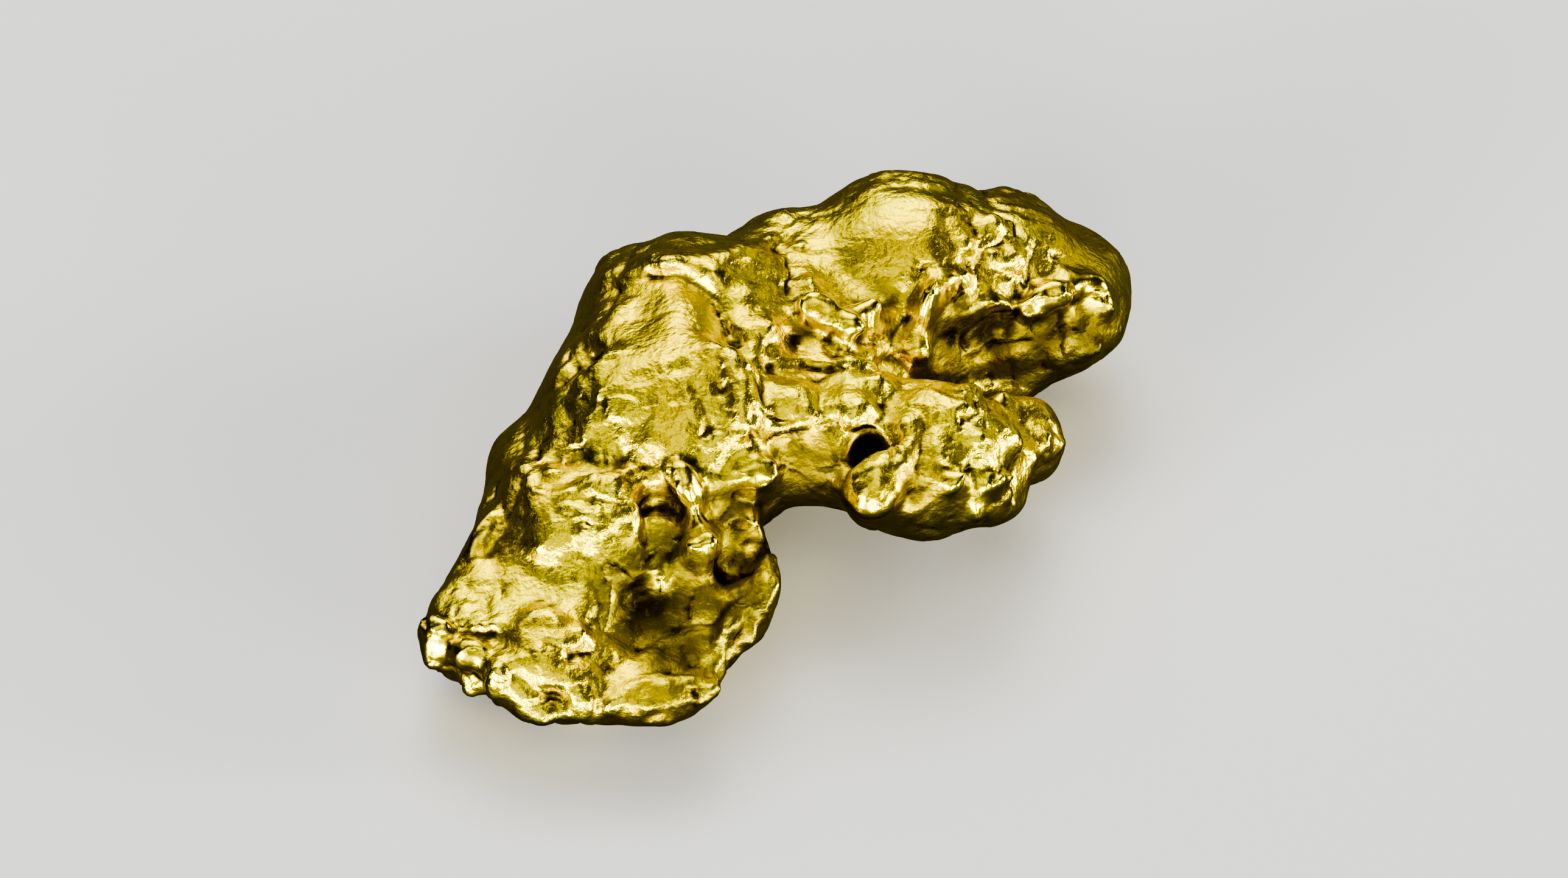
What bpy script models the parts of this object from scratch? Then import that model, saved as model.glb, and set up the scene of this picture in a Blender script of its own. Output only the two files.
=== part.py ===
"""A small water-worn gold nugget: one lobed lump of native gold, about 5 mm across.

The lump is fused from ellipsoid lobes, hollowed where it is scooped and undercut, then covered with knobs,
furrows and a crinkled skin, and cut flat where it has worn to a rest. It is worked in millimetres and scaled
to metres at the end.
"""

import math
from collections import namedtuple

import bmesh
import bpy
import numpy as np
from mathutils import Matrix, Vector, noise
from mathutils.bvhtree import BVHTree

# Driving dimensions, in millimetres and degrees.
SIGHT_RISE = 42  # the face plane's normal points to the front (-Y) and up by this angle
BALL_SUBDIVISIONS = 4
FORM_VOXEL = 0.06  # grain of the fused lobes
FORM_SMOOTHING = 12
SKIN_VOXEL = 0.05  # grain of the skin that takes the relief
SKIN_SMOOTHING = 6
REST_CUT = 0.05  # how much is worn off the lowest points
FINE_CRINKLE = 0.035
FINE_CRINKLE_SIZE = 0.28
BROAD_CRINKLE = 0.06
BROAD_CRINKLE_SIZE = 0.75
HIDDEN_KNOBS = 110
HIDDEN_KNOB_RADII = (0.16, 0.38)
HIDDEN_KNOB_RISES = (-0.25, 0.30)  # shares of the radius; a negative one is a dent
HIDDEN_TURN = 0.15  # a face is hidden whose normal's share along the sight is under this
TRIANGLES = 8600
SEED = 7

METRES_PER_MM = 0.001
FAR = 20  # farther out than any of the surface

# A lobe or a hollow is an ellipsoid: centre, radii, and its turn about Z.
Lobe = namedtuple("Lobe", "place radii turn")

LOBES = {
    "hump": Lobe((-0.65, 0.98, 1.01), (0.82, 0.84, 0.79), -20),
    "body": Lobe((-0.72, 0.22, 0.94), (1.02, 1.05, 0.80), 0),
    "flank": Lobe((-1.23, -0.38, 0.70), (0.86, 1.02, 0.66), -25),
    "heel": Lobe((-0.84, 0.92, 0.44), (0.74, 0.80, 0.475), 0),
    "left_lobe": Lobe((-1.48, -1.28, 0.54), (0.94, 0.92, 0.36), 5),
    "left_foot": Lobe((-1.40, -1.22, 0.46), (0.66, 0.62, 0.50), 5),
    "left_tip": Lobe((-2.02, -1.34, 0.42), (0.47, 0.44, 0.24), 0),
    "front_lip": Lobe((-1.00, -1.68, 0.50), (0.64, 0.68, 0.26), 10),
    "rim_lobe": Lobe((-0.70, -1.02, 0.64), (0.72, 0.88, 0.40), 0),
    "rim_foot": Lobe((-0.85, -0.80, 0.46), (0.50, 0.60, 0.46), 0),
    "saddle": Lobe((0.12, 0.85, 0.92), (0.75, 0.80, 0.68), 0),
    "back_shoulder": Lobe((0.08, 1.56, 1.00), (0.72, 0.62, 0.62), 10),
    "head": Lobe((0.82, 1.58, 0.98), (0.86, 0.82, 0.80), 0),
    "head_middle": Lobe((1.34, 1.72, 0.90), (0.85, 0.80, 0.68), 0),
    "head_end": Lobe((1.78, 1.74, 0.76), (0.70, 0.70, 0.52), 0),
    "head_foot": Lobe((1.15, 1.30, 0.46), (0.66, 0.56, 0.49), 10),
    "arm_root": Lobe((0.28, 0.08, 1.04), (0.62, 0.62, 0.52), 0),
    "arm": Lobe((0.98, -0.20, 0.98), (0.70, 0.56, 0.54), 8),
    "arm_knuckle": Lobe((1.38, -0.22, 0.82), (0.35, 0.36, 0.36), 0),
    "arm_tip": Lobe((1.60, 0.28, 0.76), (0.39, 0.38, 0.35), 0),
}

HOLLOWS = {
    "scoop": Lobe((-0.80, -1.66, 1.02), (0.52, 0.46, 0.40), 10),
    "scoop_pit": Lobe((-0.95, -1.56, 0.88), (0.28, 0.26, 0.26), 0),
    "rim_hollow": Lobe((-0.31, -1.14, 1.04), (0.20, 0.32, 0.34), 0),
    "gutter": Lobe((-0.88, -1.05, 1.24), (0.13, 0.34, 0.24), 0),
    "undercut": Lobe((0.14, -0.68, 0.36), (0.46, 0.44, 0.56), 0),
    "pit": Lobe((0.58, -0.42, 1.24), (0.19, 0.16, 0.20), 0),
    "cleft": Lobe((1.66, 0.84, 0.66), (0.72, 0.18, 0.36), 8),
}

# A knob is a small dome on the near face, placed by its two distances on the face plane, to the right and up.
Knob = namedtuple("Knob", "across up radius height")

KNOBS = [
    Knob(-0.14, 1.52, 0.24, 0.10),
    Knob(-0.72, 1.58, 0.30, 0.06),
    Knob(0.05, 1.04, 0.20, 0.08),
    Knob(0.42, 0.96, 0.22, 0.09),
    Knob(-2.30, -0.62, 0.24, 0.10),
    Knob(-2.04, -0.72, 0.16, 0.07),
    Knob(-2.06, 0.02, 0.20, 0.10),
    Knob(-1.58, -0.60, 0.26, 0.07),
    Knob(-0.20, 0.50, 0.22, 0.09),
    Knob(-0.19, 0.10, 0.14, 0.07),
    Knob(0.60, 0.30, 0.24, 0.14),
    Knob(1.18, 0.42, 0.17, 0.08),
    Knob(1.46, 0.38, 0.17, 0.07),
    Knob(1.30, 0.22, 0.15, 0.07),
    Knob(0.93, 1.34, 0.18, 0.10),
    Knob(2.10, 1.38, 0.16, 0.06),
]

# A furrow (negative height) or a ridge is a line of points on the face plane, with its half width and height.
Line = namedtuple("Line", "points half_width height")

LINES = {
    "crown_furrow": Line(
        [(-1.20, 1.78), (-0.90, 1.87), (-0.60, 1.78), (-0.42, 1.62), (-0.36, 1.40)], 0.10, -0.05
    ),
    "crown_ridge": Line([(-0.84, 1.98), (-0.50, 2.00), (-0.20, 2.03)], 0.13, 0.05),
    "neck_furrow": Line([(0.02, 2.12), (-0.02, 1.95), (0.08, 1.66), (0.12, 1.40)], 0.10, -0.04),
    "waist_furrow": Line([(-0.26, 1.30), (0.02, 1.22), (0.40, 1.20), (0.78, 1.22)], 0.10, -0.06),
    "shoulder_furrow": Line([(0.28, 1.16), (0.28, 0.80)], 0.10, -0.05),
    "brow_ridge": Line([(1.05, 1.82), (0.93, 1.52)], 0.10, 0.12),
    "cheek_ridge": Line([(1.66, 1.66), (1.85, 1.70), (2.02, 1.76), (2.26, 1.72)], 0.13, 0.10),
    "lip_ridge": Line([(0.16, 1.66), (0.40, 1.50), (0.60, 1.60)], 0.13, 0.10),
    "knuckle_furrow": Line([(-1.76, 0.72), (-1.40, 0.62), (-1.05, 0.62)], 0.12, -0.06),
    "side_ridge": Line([(-0.50, 1.34), (-0.30, 1.16), (-0.25, 0.80)], 0.14, 0.07),
    "spur": Line([(-0.66, 0.46), (-0.60, 0.20), (-0.56, -0.04)], 0.15, 0.14),
    "rim_ridge": Line([(-0.12, -0.10), (-0.14, -0.40), (-0.24, -0.72), (-0.50, -0.95)], 0.10, 0.06),
    "front_ridge": Line([(-1.30, -1.15), (-1.00, -1.00), (-0.55, -0.92)], 0.10, 0.05),
    "arm_ridge": Line([(1.24, 0.98), (1.50, 0.86), (1.62, 0.70)], 0.13, 0.07),
}


def clear_scene():
    for item in list(bpy.data.objects):
        bpy.data.objects.remove(item, do_unlink=True)


def ellipsoids(name, lobes):
    """One mesh object that holds an overlapping ball for each lobe."""
    bm = bmesh.new()
    for lobe in lobes:
        turn = Matrix.Rotation(math.radians(lobe.turn), 4, "Z")
        where = Matrix.Translation(lobe.place) @ turn @ Matrix.Diagonal((*lobe.radii, 1))
        bmesh.ops.create_icosphere(bm, subdivisions=BALL_SUBDIVISIONS, radius=1, matrix=where)
    mesh = bpy.data.meshes.new(name)
    bm.to_mesh(mesh)
    bm.free()
    obj = bpy.data.objects.new(name, mesh)
    bpy.context.scene.collection.objects.link(obj)
    return obj


def voxel_remesh(obj, voxel):
    remesh = obj.modifiers.new("fuse", "REMESH")
    remesh.mode = "VOXEL"
    remesh.voxel_size = voxel


def smooth(obj, times):
    blend = obj.modifiers.new("blend", "SMOOTH")
    blend.factor = 0.5
    blend.iterations = times


def carve(obj, cutter):
    cut = obj.modifiers.new("carve", "BOOLEAN")
    cut.operation = "DIFFERENCE"
    cut.object = cutter


def apply_modifiers(obj):
    bpy.context.view_layer.update()
    graph = bpy.context.evaluated_depsgraph_get()
    mesh = bpy.data.meshes.new_from_object(obj.evaluated_get(graph))
    obj.modifiers.clear()
    obj.data = mesh


def fuse_form():
    """The lobes fused into one body, with the hollows cut out of it."""
    nugget = ellipsoids("nugget", LOBES.values())
    cutter = ellipsoids("hollows", HOLLOWS.values())
    voxel_remesh(cutter, FORM_VOXEL)
    apply_modifiers(cutter)
    voxel_remesh(nugget, FORM_VOXEL)
    smooth(nugget, FORM_SMOOTHING)
    carve(nugget, cutter)
    voxel_remesh(nugget, SKIN_VOXEL)
    smooth(nugget, SKIN_SMOOTHING)
    apply_modifiers(nugget)
    bpy.data.objects.remove(cutter, do_unlink=True)
    return nugget


def points_of(mesh):
    flat = np.empty(len(mesh.vertices) * 3, np.float32)
    mesh.vertices.foreach_get("co", flat)
    return flat.reshape(-1, 3)


def normals_of(mesh):
    flat = np.empty(len(mesh.vertices) * 3, np.float32)
    mesh.vertices.foreach_get("normal", flat)
    return flat.reshape(-1, 3)


def push(mesh, lift):
    """Moves each vertex along its normal by its own lift."""
    moved = points_of(mesh) + normals_of(mesh) * lift[:, None]
    mesh.vertices.foreach_set("co", moved.ravel())
    mesh.update()


def face_plane():
    """The face plane's two directions, and the direction that it faces."""
    rise = math.radians(SIGHT_RISE)
    across = Vector((1, 0, 0))
    up = Vector((0, math.sin(rise), math.cos(rise)))
    toward = Vector((0, -math.cos(rise), math.sin(rise)))
    return across, up, toward


def on_near_face(tree, place):
    """The point of the surface straight behind a place on the face plane, or beside it past the outline."""
    across, up, toward = face_plane()
    spot = across * place[0] + up * place[1]
    hit = tree.ray_cast(spot + toward * FAR, -toward)[0]
    return np.array(hit or tree.find_nearest(spot)[0])


def tree_of(mesh):
    bm = bmesh.new()
    bm.from_mesh(mesh)
    tree = BVHTree.FromBMesh(bm)
    bm.free()
    return tree


def dome(points, centre, radius):
    """1 at the centre, falling to 0 at the radius like a bell."""
    share = np.linalg.norm(points - centre, axis=1) / radius
    return np.clip(1 - share**2, 0, 1) ** 1.5


def along_line(points, line, half_width):
    """1 on the line, falling to 0 at its half width like a bell."""
    nearest = np.full(len(points), np.inf)
    for start, end in zip(line, line[1:]):
        run = end - start
        share = np.clip((points - start) @ run / (run @ run), 0, 1)
        nearest = np.minimum(nearest, np.linalg.norm(points - start - share[:, None] * run, axis=1))
    return np.clip(1 - (nearest / half_width) ** 2, 0, 1) ** 1.5


def named_relief(mesh):
    """The knobs, furrows and ridges that have a place of their own on the near face."""
    points, tree = points_of(mesh), tree_of(mesh)
    lift = np.zeros(len(points))
    for knob in KNOBS:
        centre = on_near_face(tree, (knob.across, knob.up))
        lift += knob.height * dome(points, centre, knob.radius)
    for line in LINES.values():
        route = [on_near_face(tree, place) for place in line.points]
        lift += line.height * along_line(points, route, line.half_width)
    push(mesh, lift)


def hidden_relief(mesh):
    """Knobs scattered over the back and the underside."""
    rng = np.random.default_rng(SEED)
    points, normals = points_of(mesh), normals_of(mesh)
    toward = np.array(face_plane()[2])
    hidden = np.flatnonzero(normals @ toward < HIDDEN_TURN)
    lift = np.zeros(len(points))
    for vertex in rng.choice(hidden, HIDDEN_KNOBS):
        radius = rng.uniform(*HIDDEN_KNOB_RADII)
        rise = rng.uniform(*HIDDEN_KNOB_RISES) * radius
        lift += rise * dome(points, points[vertex], radius)
    push(mesh, lift)


def crinkle(mesh):
    """Broad and fine folds over the whole skin."""
    lift = [
        BROAD_CRINKLE * noise.noise(Vector(p) / BROAD_CRINKLE_SIZE)
        + FINE_CRINKLE * noise.noise(Vector(p) / FINE_CRINKLE_SIZE)
        for p in points_of(mesh)
    ]
    push(mesh, np.array(lift))


def cut_rest(mesh):
    """Cuts the lowest points off level, and puts the cut at Z = 0."""
    bm = bmesh.new()
    bm.from_mesh(mesh)
    level = min(v.co.z for v in bm.verts) + REST_CUT
    whole = bm.verts[:] + bm.edges[:] + bm.faces[:]
    bmesh.ops.bisect_plane(bm, geom=whole, plane_co=(0, 0, level), plane_no=(0, 0, -1), clear_outer=True)
    bmesh.ops.holes_fill(bm, edges=[e for e in bm.edges if e.is_boundary])
    bmesh.ops.translate(bm, verts=bm.verts, vec=(0, 0, -level))
    bmesh.ops.triangulate(bm, faces=bm.faces)
    bm.to_mesh(mesh)
    bm.free()


def thin_out(obj):
    bpy.context.view_layer.update()
    thin = obj.modifiers.new("thin_out", "DECIMATE")
    thin.ratio = TRIANGLES / sum(len(p.vertices) - 2 for p in obj.data.polygons)
    apply_modifiers(obj)


def centre_and_scale(mesh):
    """Puts the origin at the middle of the rest, and turns millimetres into metres."""
    points = points_of(mesh)
    low, high = points.min(axis=0), points.max(axis=0)
    shift = Matrix.Translation((-(low[0] + high[0]) / 2, -(low[1] + high[1]) / 2, 0))
    mesh.transform(Matrix.Scale(METRES_PER_MM, 4) @ shift)


def gold():
    material = bpy.data.materials.new("gold")
    material.use_nodes = True
    shader = material.node_tree.nodes["Principled BSDF"]
    shader.inputs["Base Color"].default_value = (0.83, 0.57, 0.12, 1)
    shader.inputs["Metallic"].default_value = 1.0
    shader.inputs["Roughness"].default_value = 0.3
    return material


def main():
    clear_scene()
    nugget = fuse_form()
    named_relief(nugget.data)
    hidden_relief(nugget.data)
    crinkle(nugget.data)
    thin_out(nugget)
    cut_rest(nugget.data)
    centre_and_scale(nugget.data)
    nugget.data.materials.append(gold())


if __name__ == "__main__":
    main()
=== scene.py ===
"""Looks of a small water-worn gold nugget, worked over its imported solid, and a plain stage for it.

The skin starts as the solid's own surface. Lumps of gold are seated in it and fused, creases and dents are
pressed in, and a crumpled texture goes over all but the calm, burnished places. Shapes are worked in
millimetres and turned into metres at the end. A place on the near side is given on the face plane, which
squarely faces the viewer: so far across, to the right, and so far up from the nugget's origin.
"""

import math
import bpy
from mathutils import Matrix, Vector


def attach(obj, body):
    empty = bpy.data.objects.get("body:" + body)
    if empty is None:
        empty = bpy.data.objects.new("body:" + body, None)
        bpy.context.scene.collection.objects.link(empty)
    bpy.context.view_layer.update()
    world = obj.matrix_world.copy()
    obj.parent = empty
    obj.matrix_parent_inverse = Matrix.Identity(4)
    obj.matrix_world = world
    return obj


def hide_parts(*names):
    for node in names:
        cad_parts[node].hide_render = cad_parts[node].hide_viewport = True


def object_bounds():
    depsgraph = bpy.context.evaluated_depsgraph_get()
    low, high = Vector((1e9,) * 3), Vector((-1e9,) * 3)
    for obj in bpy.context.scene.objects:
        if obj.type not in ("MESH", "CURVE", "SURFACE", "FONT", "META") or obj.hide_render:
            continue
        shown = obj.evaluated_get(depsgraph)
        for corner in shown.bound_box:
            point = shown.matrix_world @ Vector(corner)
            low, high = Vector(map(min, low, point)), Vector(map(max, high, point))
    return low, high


bl_info = {
    "name": "Gold Nugget",
    "version": (1, 0, 0),
    "blender": (4, 5, 0),
    "location": "View3D > Sidebar > Nugget",
    "description": "Gives a small gold nugget its lumped, creased and burnished skin",
    "category": "Object",
}

from collections import namedtuple

import bmesh
import bpy
import numpy as np
from mathutils import Matrix, Vector
from mathutils.bvhtree import BVHTree

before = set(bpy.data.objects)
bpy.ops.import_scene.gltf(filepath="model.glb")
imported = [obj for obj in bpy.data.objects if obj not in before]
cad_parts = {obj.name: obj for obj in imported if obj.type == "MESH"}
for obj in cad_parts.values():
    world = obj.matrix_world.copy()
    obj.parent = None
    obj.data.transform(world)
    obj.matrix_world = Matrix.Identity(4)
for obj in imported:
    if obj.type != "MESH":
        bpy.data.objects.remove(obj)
CAD_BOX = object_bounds()

MM = 0.001
FAR = 20  # millimetres, farther out than any of the surface
DOUBLES_APART = 1e-4  # millimetres
SIGHT_RISE = math.radians(42)  # how far the face plane's normal points up from the front
TRIANGLE_SIDES = 3

# A lump is a half-sunk pebble: its place, its length and width, its lean from level and how proud it stands.
Lump = namedtuple("Lump", "across up length width lean rise")
# A crease or, with a negative depth, a ridge: its places in turn, half its width, and its depth.
Crease = namedtuple("Crease", "places half_width depth")
Dent = namedtuple("Dent", "across up radius depth")
# A patch is a calm, a rough, or a stained and shaded place, where shade is painted: share is how calm, rough,
# or stained and shaded it is at its middle.
Patch = namedtuple("Patch", "across up radius share")

# A glow of the room: degrees round from the front, degrees up, how narrow, and how strong.
Glow = namedtuple("Glow", "turn rise narrowing strength")

GLOWS = (
    Glow(180, 50, 24, 3.8),
    Glow(180, 74, 24, 1.5),
    Glow(135, 45, 24, 1.6),
    Glow(0, 60, 30, 1.8),
    Glow(-135, 15, 50, 1.0),
    Glow(45, 12, 70, 24.0),
    Glow(45, 40, 50, 1.6),
    Glow(0, 10, 55, 18.0),
    Glow(-45, 12, 80, 17.0),
    Glow(-90, 12, 80, 24.0),
)

# How rough the skin is, as a share of the full texture.
ROUGH_SIDE = (0.10, -0.55, 0.83)  # the way the rough side faces
FLANK_EDGE, ROUGH_EDGE = -0.05, 0.50  # how squarely it faces that way on the flanks, and on the rough side
PLAIN_ROUGH = 0.55
FLANK_ROUGH = 0.22
RUBBED_SHARE = 0.60  # how much of it is gone on a rubbed top
PATCH_REACH = 1.3  # how far a patch fades out, in its own radii
CALMING = 1.6  # the skin is evened out where it is less rough than one part in this

# Lumps, in millimetres where they are lengths.
SHELL_AROUND, SHELL_DOWN = 14, 9  # a lump's grid
PROUD_RISE = 0.08  # a lump that stands this proud has a rubbed top
RUBBED_RISE = math.radians(27)  # how far up from the front the rubbed tops face
VIEW_LEAN = 0.35  # how far the other lumps turn to face as the face plane does
LUMP_SPREAD = 0.66  # a shell's radii, as a share of the lump's length and width
PROUD_HEIGHT, PLAIN_HEIGHT = 0.80, 0.65  # the share of its rise that a lump keeps
FLAT_TOP = 0.85  # 1 leaves a lump's top round, and less flattens it
LUMP_WANDER, LUMP_STRAY = 0.14, 0.032  # the size and the reach of the noise in a lump's outline
CREASE_WANDER, CREASE_STRAY = 0.22, 0.06  # the same for a crease's route
CREASE_CHANGE = 0.30  # the distance over which a crease's depth changes
CREASE_DEPTH, CREASE_UNEVEN = 0.85, 0.5  # the mean share of its depth that a crease has, and the change
LUMP_SEED, CREASE_SEED = 21, 33

# Caps, in units of their own size.
CAP_LEVEL = 0.35  # how far one cap may stand over another
CAP_WEAR, CAP_WORN = 0.12, 0.6  # the level above which caps are worn, and how much of that is gone
BROAD_CAPS, BROAD_FOLDS = 2.1, 2.4  # the broad texture's sizes, in sizes of the crumple
BROAD_DEPTH, FOLD_DEPTH = 1.7, 0.4  # its depths, in depths of the crumple
BROAD_SHAPE, CRUMPLE_SHAPE = (1.2, 0.7), (1.3, 0.6)  # the caps' tilt and bulge
CALM_CRUMPLE, CALM_FINE = 0.05, 0.20  # the share of the crumple and the fine crumple left on calm skin

# How many times a surface is evened out with its neighbours.
SOLID_PASSES, SEATED_PASSES, SKIN_PASSES = 16, 8, 2
CALM_PASSES, FACING_PASSES = 30, 25
NEAR_PASSES, BROAD_PASSES = 12, 90

# Odd numbers of 64 bits that stir a cell's three coordinates, and then all of it again.
STIR_X, STIR_Y = np.uint64(0x9E3779B97F4A7C15), np.uint64(0xC2B2AE3D27D4EB4F)
STIR_Z, STIR_ALL = np.uint64(0x165667B19E3779F9), np.uint64(0xD6E8FEB86659FD93)
SEED_STEP = 7919
NOISE_GAIN = 1.6  # brings gradient noise to about -1 to 1
BELL_POWER = 1.5
FOLD_SHARPNESS = 5
SUNK_SHARE = 0.0008  # the share of the skin's points that the floor flattens

# The finish: where each mask is 0 and where it is 1, in millimetres of height or in a noise's own value.
# The worn mask's limits: where the high points are painted paler, a painted highlight over burnished wear.
WORN_AND_HIGHLIT = (0.002, 0.014)
# The deep mask's limits: where shade is painted into the deep hollows.
DEEP = (-0.008, -0.048)
# The crease mask's limits: where shade is painted into the fine creases.
SHADED_CREASES = (-0.002, -0.012)
PATCHY = (0.40, 0.62)
SPECKED = (0.30, 0.60)
SMEARED = (0.20, 0.42)
# Each noise's scale, in turns to the metre, and its detail.
PATCH_NOISE, SPECK_NOISE, SMEAR_NOISE, GRAIN_NOISE = (1400, 2), (9000, 3), (5000, 4), (22000, 4)
SPECK_ROUGH, STAIN_AND_SHADE_ROUGH, BURNISH = 0.16, 0.25, 0.08  # what they add to the roughness or take off it
GRAIN_DEPTH = 0.000010
POLISH_CALM = 0.75  # how much of the grain a rubbed top loses

PICTURE_HEIGHT, PICTURE_WIDTH = 1442, 2576
FLOOR_REACH, FLOOR_ROUGHNESS = 0.5, 0.6
CLIP = (0.001, 10)
COLUMN, ROW = 200, 160  # the spacing of the nodes on a material's sheet

LUMPS = {
    "left tip": [
        Lump(-2.35, -0.69, 0.34, 0.24, 90, 0.10),
        Lump(-2.11, -0.76, 0.24, 0.18, 20, 0.09),
        Lump(-2.02, -0.57, 0.22, 0.15, -30, 0.07),
        Lump(-2.10, -1.00, 0.18, 0.12, -60, 0.07),
        Lump(-1.93, -0.97, 0.26, 0.11, 80, 0.07),
        Lump(-2.07, 0.02, 0.36, 0.15, 60, 0.09),
        Lump(-1.88, -0.09, 0.11, 0.10, 0, 0.05),
    ],
    "left lobe": [
        Lump(-1.65, -0.60, 0.32, 0.24, 80, 0.05),
        Lump(-1.39, -0.67, 0.20, 0.14, 70, 0.07),
        Lump(-1.64, -0.07, 0.16, 0.10, -30, 0.05),
        Lump(-1.77, -1.22, 0.20, 0.10, -20, 0.06),
        Lump(-1.57, -1.18, 0.18, 0.10, 10, 0.06),
        Lump(-1.41, -1.19, 0.16, 0.09, 0, 0.05),
        Lump(-1.39, -1.04, 0.20, 0.09, -45, 0.05),
        Lump(-1.69, -0.83, 0.16, 0.11, 60, 0.05),
    ],
    "scoop": [
        Lump(-0.66, 0.37, 0.34, 0.20, -65, 0.12),
        Lump(-0.60, 0.12, 0.14, 0.10, 90, 0.08),
        Lump(-0.56, -0.02, 0.20, 0.12, 15, 0.09),
        Lump(-0.19, 0.45, 0.30, 0.20, 0, 0.08),
        Lump(-0.20, 0.11, 0.17, 0.10, -60, 0.08),
        Lump(-0.08, -0.09, 0.13, 0.10, 0, 0.05),
        Lump(-0.28, -0.28, 0.13, 0.09, 0, 0.05),
        Lump(-0.84, -0.25, 0.17, 0.11, -65, 0.10),
        Lump(-1.00, -0.23, 0.13, 0.09, 90, 0.06),
        Lump(-0.39, -0.65, 0.19, 0.08, 85, 0.06),
        Lump(-0.78, -0.53, 0.16, 0.08, 85, 0.05),
        Lump(-1.25, -0.51, 0.15, 0.09, 70, 0.05),
        Lump(-0.89, -0.81, 0.15, 0.12, 20, 0.05),
        Lump(-0.53, -1.03, 0.22, 0.10, 30, 0.05),
        Lump(-0.97, -0.97, 0.20, 0.11, 20, 0.05),
        Lump(-0.83, -0.97, 0.14, 0.10, 10, 0.05),
    ],
    "knuckles": [
        Lump(-1.26, 0.14, 0.18, 0.12, 0, 0.07),
        Lump(-1.32, 0.37, 0.14, 0.12, 0, 0.07),
        Lump(-1.23, 0.53, 0.17, 0.16, 0, 0.09),
        Lump(-1.55, 0.46, 0.17, 0.11, 30, 0.07),
        Lump(-1.43, 0.58, 0.22, 0.10, 40, 0.06),
        Lump(-1.09, 0.42, 0.21, 0.11, 50, 0.07),
        Lump(-0.86, 0.39, 0.22, 0.10, 80, 0.06),
        Lump(-0.46, 0.44, 0.24, 0.12, -75, 0.07),
        Lump(-0.93, 0.60, 0.23, 0.18, 0, 0.06),
        Lump(-1.02, 0.03, 0.17, 0.11, 80, 0.06),
        Lump(-1.10, 0.25, 0.22, 0.17, 0, 0.06),
    ],
    "body": [
        Lump(-0.47, 1.81, 0.14, 0.11, 0, 0.08),
        Lump(-0.28, 1.67, 0.20, 0.11, 35, 0.06),
        Lump(-0.14, 1.43, 0.20, 0.14, 30, 0.06),
        Lump(-1.27, 1.53, 0.22, 0.10, 80, 0.05),
        Lump(-1.13, 1.53, 0.21, 0.11, 75, 0.06),
        Lump(-1.28, 1.20, 0.24, 0.13, 60, 0.05),
        Lump(-1.18, 1.00, 0.22, 0.13, 20, 0.05),
        Lump(-1.34, 0.79, 0.21, 0.12, 60, 0.05),
        Lump(0.05, 1.09, 0.30, 0.13, -15, 0.06),
        Lump(0.21, 0.83, 0.28, 0.15, 20, 0.06),
        Lump(0.37, 1.06, 0.22, 0.16, 20, 0.06),
        Lump(0.53, 0.88, 0.24, 0.14, 60, 0.06),
    ],
    "head": [
        Lump(0.58, 2.41, 0.16, 0.10, 30, 0.05),
        Lump(0.25, 1.57, 0.28, 0.20, -20, 0.09),
        Lump(0.43, 1.46, 0.24, 0.19, 0, 0.09),
        Lump(0.57, 1.57, 0.22, 0.16, 40, 0.08),
        Lump(0.15, 1.73, 0.17, 0.10, 80, 0.06),
        Lump(1.00, 1.64, 0.36, 0.11, 70, 0.12),
        Lump(0.90, 1.30, 0.21, 0.17, 20, 0.10),
        Lump(1.02, 1.16, 0.15, 0.09, 60, 0.06),
        Lump(1.15, 1.78, 0.14, 0.13, 0, 0.08),
        Lump(1.27, 1.79, 0.17, 0.09, 85, 0.08),
        Lump(1.26, 2.02, 0.21, 0.10, 30, 0.06),
        Lump(1.46, 2.15, 0.13, 0.11, 0, 0.06),
        Lump(1.43, 1.94, 0.11, 0.09, 0, 0.05),
        Lump(1.47, 1.64, 0.21, 0.11, -55, 0.09),
        Lump(1.60, 1.90, 0.15, 0.11, 0, 0.06),
        Lump(1.83, 2.04, 0.15, 0.12, 0, 0.05),
        Lump(1.26, 1.57, 0.15, 0.09, 0, 0.06),
        Lump(1.57, 1.76, 0.12, 0.10, 60, 0.05),
        Lump(1.80, 1.65, 0.36, 0.21, 20, 0.09),
        Lump(1.99, 1.77, 0.24, 0.18, -10, 0.08),
        Lump(2.19, 1.74, 0.22, 0.18, -60, 0.08),
        Lump(2.28, 1.64, 0.18, 0.14, -60, 0.07),
        Lump(2.01, 1.41, 0.24, 0.11, 20, 0.07),
        Lump(2.14, 1.33, 0.15, 0.11, 0, 0.06),
    ],
    "arm": [
        Lump(0.66, 1.07, 0.13, 0.12, 0, 0.08),
        Lump(0.97, 0.97, 0.22, 0.11, 10, 0.05),
        Lump(1.30, 1.00, 0.23, 0.11, 55, 0.07),
        Lump(1.50, 0.90, 0.25, 0.16, 80, 0.08),
        Lump(1.66, 0.63, 0.21, 0.14, 0, 0.07),
        Lump(1.78, 0.67, 0.26, 0.13, 55, 0.07),
        Lump(1.70, 0.52, 0.13, 0.11, 0, 0.06),
        Lump(1.33, 0.67, 0.14, 0.10, 0, 0.06),
        Lump(1.09, 0.58, 0.16, 0.09, 45, 0.06),
        Lump(1.17, 0.39, 0.20, 0.14, 50, 0.09),
        Lump(1.39, 0.35, 0.25, 0.12, 35, 0.09),
        Lump(1.50, 0.42, 0.15, 0.11, 20, 0.07),
        Lump(1.32, 0.22, 0.15, 0.13, 0, 0.08),
        Lump(0.60, 0.33, 0.36, 0.30, 60, 0.18),
        Lump(0.76, 0.44, 0.21, 0.13, 50, 0.07),
        Lump(0.44, 0.40, 0.17, 0.08, 40, 0.06),
        Lump(0.45, 0.65, 0.15, 0.11, 45, 0.09),
    ],
}

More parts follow.
